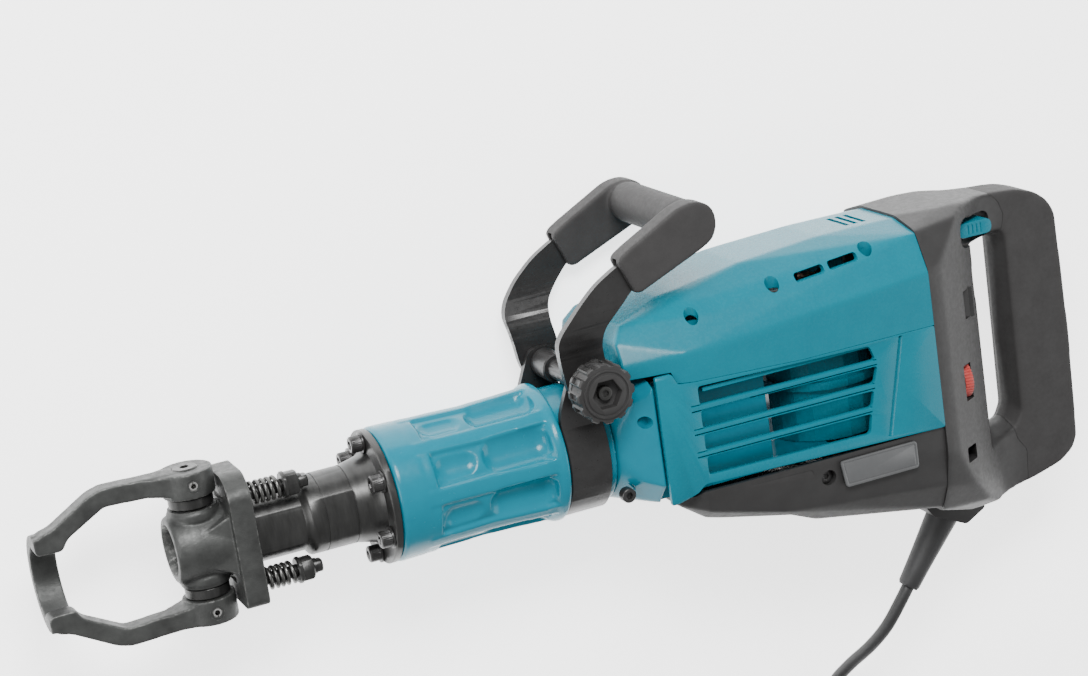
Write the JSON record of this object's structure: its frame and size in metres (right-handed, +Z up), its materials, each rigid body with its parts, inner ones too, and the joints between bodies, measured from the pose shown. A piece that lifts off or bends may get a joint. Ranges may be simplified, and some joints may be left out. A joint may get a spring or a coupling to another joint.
{
  "type": "electric jackhammer",
  "caption": "Corded electric demolition hammer with hexagon tool retainer bail, ribbed barrel, tilting side handle, vented housing and rear D-handle, lying on its side with coiled cord.",
  "frame": {"origin": "on the surface the tool lies on, under the middle of the tool without its cord", "axes": "+X back along the barrel axis towards the D-handle, +Y towards the top of the tool, +Z up out of the side with the clamp knob"},
  "size_m": [0.8209, 0.6535, 0.1495],
  "materials": {
    "forged": "dark forged steel, slightly shiny",
    "teal_metal": "gloss teal paint on cast light alloy",
    "teal_plastic": "semi-gloss moulded teal",
    "black_plastic": "fine spark-eroded texture",
    "rubber": "textured soft grip",
    "oxide": "black oxide steel",
    "steel": "machined steel",
    "cord": "black rubber jacket",
    "label": "satin grey",
    "dial": "red moulded",
    "copper": "laminated steel and enamelled copper"
  },
  "bodies": {
    "tool": {"tool_sleeve": "forged", "retainer_housing": "forged", "detent_spring_upper": "steel", "detent_spring_lower": "steel", "barrel": "teal_metal", "crank_housing": "teal_metal", "flange_bolt_1": "oxide", "flange_bolt_2": "oxide", "flange_bolt_3": "oxide", "flange_bolt_4": "oxide", "flange_bolt_5": "oxide", "flange_bolt_6": "oxide", "crank_case_bolt": "oxide", "belly_cover": "black_plastic", "rear_housing": "black_plastic", "switch_block": "black_plastic", "cord_clamp": "black_plastic", "cord_tie": "black_plastic", "plug": "black_plastic", "handle_grip": "rubber", "upper_shell": "teal_plastic", "side_shell_near": "teal_plastic", "side_shell_far": "teal_plastic", "motor_housing": "teal_plastic", "label_plate": "label", "stator": "copper", "hammer_cylinder": "steel", "absorber_spring_front": "steel", "absorber_spring_rear": "steel", "cord_guard": "cord", "cord_lead": "cord", "cord_coil": "cord", "cord_tail": "cord"},
    "bail": {"retainer_bail": "forged", "trunnion_upper": "forged", "trunnion_lower": "forged", "bail_pin_upper": "steel", "bail_pin_lower": "steel"},
    "detent_upper": {"detent_bolt_upper": "forged", "detent_nut_upper": "forged"},
    "detent_lower": {"detent_bolt_lower": "forged", "detent_nut_lower": "forged"},
    "handle_clamp": {"clamp_band": "oxide", "clamp_spacer": "oxide", "clamp_bolt": "steel"},
    "knob": {"clamp_knob": "black_plastic"},
    "side_handle": {"side_handle_frame": "oxide", "side_handle_grip": "rubber"},
    "lever": {"switch_lever": "teal_plastic"},
    "dial": {"speed_dial": "dial"},
    "armature": {"armature": "copper", "cooling_fan": "black_plastic"},
    "idler": {"idler_gear": "steel"},
    "crankshaft": {"crankshaft": "steel"},
    "piston": {"piston": "steel", "connecting_rod": "steel"},
    "striker": {"striker": "steel"},
    "impact_bolt": {"impact_bolt": "steel"},
    "absorber": {"absorber_weight": "steel"}
  },
  "joints": [
    {"name": "bail_swing", "type": "hinge", "parent": "tool", "child": "bail", "pos_m": [-0.2966, -0.0151, 0.069], "axis": [0, 1, 0], "range_deg": [-90, 0]},
    {"name": "detent_upper_slide", "type": "slide", "parent": "tool", "child": "detent_upper", "axis": [-1, 0, 0], "range_m": [0, 0.004], "stiffness_N_per_m": 4000, "springref_m": -0.003, "deforming": ["detent_spring_upper"]},
    {"name": "detent_lower_slide", "type": "slide", "parent": "tool", "child": "detent_lower", "axis": [-1, 0, 0], "range_m": [0, 0.004], "stiffness_N_per_m": 4000, "springref_m": -0.003, "deforming": ["detent_spring_lower"]},
    {"name": "handle_turn", "type": "hinge", "parent": "tool", "child": "handle_clamp", "pos_m": [-0.0151, -0.0151, 0.069], "axis": [1, 0, 0], "continuous": true},
    {"name": "handle_tilt", "type": "hinge", "parent": "handle_clamp", "child": "side_handle", "pos_m": [-0.0071, 0.0399, 0.069], "axis": [0, 0, -1], "range_deg": [-85, 10]},
    {"name": "knob_turn", "type": "hinge", "parent": "handle_clamp", "child": "knob", "pos_m": [-0.0071, 0.0399, 0.139], "axis": [0, 0, -1], "continuous": true},
    {"name": "switch_slide", "type": "slide", "parent": "tool", "child": "lever", "axis": [0, 0, -1], "range_m": [0, 0.006]},
    {"name": "dial_turn", "type": "hinge", "parent": "tool", "child": "dial", "pos_m": [0.2974, -0.0321, 0.107], "axis": [1, 0, 0], "range_deg": [0, 240]},
    {"name": "crank_turn", "type": "hinge", "parent": "tool", "child": "crankshaft", "pos_m": [0.0939, -0.0551, 0.069], "axis": [0, 1, 0], "continuous": true},
    {"name": "idler_turn", "type": "hinge", "parent": "tool", "child": "idler", "pos_m": [0.1509, -0.0651, 0.069], "axis": [0, 1, 0], "continuous": true},
    {"name": "armature_turn", "type": "hinge", "parent": "tool", "child": "armature", "pos_m": [0.1979, -0.0151, 0.069], "axis": [0, 1, 0], "continuous": true},
    {"name": "piston_slide", "type": "slide", "parent": "tool", "child": "piston", "axis": [1, 0, 0], "range_m": [0, 0.03]},
    {"name": "striker_slide", "type": "slide", "parent": "tool", "child": "striker", "axis": [1, 0, 0], "range_m": [-0.018, 0.012]},
    {"name": "impact_bolt_slide", "type": "slide", "parent": "tool", "child": "impact_bolt", "axis": [1, 0, 0], "range_m": [-0.015, 0]},
    {"name": "absorber_slide", "type": "slide", "parent": "tool", "child": "absorber", "axis": [1, 0, 0], "range_m": [-0.005, 0.005], "stiffness_N_per_m": 9000, "deforming": ["absorber_spring_front", "absorber_spring_rear"]}
  ],
  "couplings": [
    {"joint": "idler_turn", "follows": "crank_turn", "ratio": -1.1236},
    {"joint": "armature_turn", "follows": "crank_turn", "ratio": 4.9077}
  ]
}
